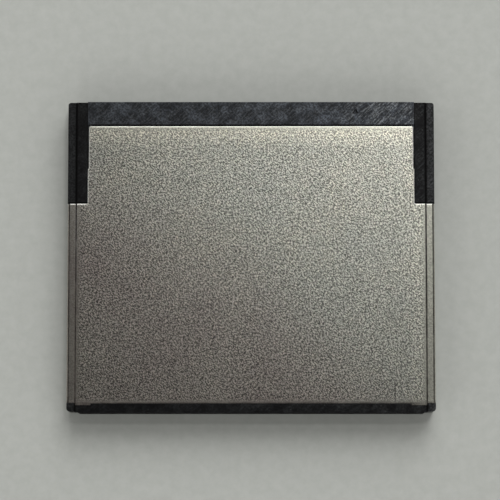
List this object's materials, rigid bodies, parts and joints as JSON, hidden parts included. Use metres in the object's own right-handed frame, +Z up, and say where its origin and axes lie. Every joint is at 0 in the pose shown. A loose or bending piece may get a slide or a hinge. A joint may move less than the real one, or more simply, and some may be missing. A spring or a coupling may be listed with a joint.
{
  "type": "memory card",
  "caption": "Solid-state memory card: a moulded frame between two folded steel covers, with keyed contact slots in its front edge and unlike guide grooves in its sides.",
  "frame": {"origin": "under the card's middle, on the surface that it lies on", "axes": "+Y points out of the connector end, +X to the right seen from above with the connector end away from the viewer, +Z up out of the larger face"},
  "size_m": [0.0428, 0.0364, 0.0036],
  "materials": {
    "frame_plastic": "satin",
    "housing_plastic": "matte, glass filled",
    "cover_steel": "pebbled stainless sheet",
    "contact_gold": "gold plated",
    "board_laminate": "solder mask",
    "chip_epoxy": "matte",
    "inductor_ferrite": "matte",
    "crystal_can": "satin",
    "capacitor_ceramic": "ceramic",
    "resistor_film": "glaze"
  },
  "bodies": {
    "root": {"frame": "frame_plastic", "connector_housing": "housing_plastic", "upper_cover": "cover_steel", "lower_cover": "cover_steel", "circuit_board": "board_laminate", "controller_chip": "chip_epoxy", "flash_chip_1": "chip_epoxy", "flash_chip_2": "chip_epoxy", "flash_chip_3": "chip_epoxy", "flash_chip_4": "chip_epoxy", "voltage_regulator": "chip_epoxy", "power_inductor": "inductor_ferrite", "crystal_oscillator": "crystal_can", "capacitor_1": "capacitor_ceramic", "capacitor_2": "capacitor_ceramic", "capacitor_3": "capacitor_ceramic", "capacitor_4": "capacitor_ceramic", "capacitor_5": "capacitor_ceramic", "capacitor_6": "capacitor_ceramic", "resistor_1": "resistor_film", "resistor_2": "resistor_film", "resistor_3": "resistor_film", "resistor_4": "resistor_film", "resistor_5": "resistor_film", "resistor_6": "resistor_film", "signal_contact_1": "contact_gold", "signal_contact_2": "contact_gold", "signal_contact_3": "contact_gold", "signal_contact_4": "contact_gold", "signal_contact_5": "contact_gold", "signal_contact_6": "contact_gold", "signal_contact_7": "contact_gold", "power_contact_1": "contact_gold", "power_contact_2": "contact_gold", "power_contact_3": "contact_gold", "power_contact_4": "contact_gold", "power_contact_5": "contact_gold", "power_contact_6": "contact_gold", "power_contact_7": "contact_gold", "power_contact_8": "contact_gold", "power_contact_9": "contact_gold", "power_contact_10": "contact_gold", "power_contact_11": "contact_gold", "power_contact_12": "contact_gold", "power_contact_13": "contact_gold", "power_contact_14": "contact_gold", "power_contact_15": "contact_gold", "power_contact_16": "contact_gold", "power_contact_17": "contact_gold"}
  },
  "joints": []
}
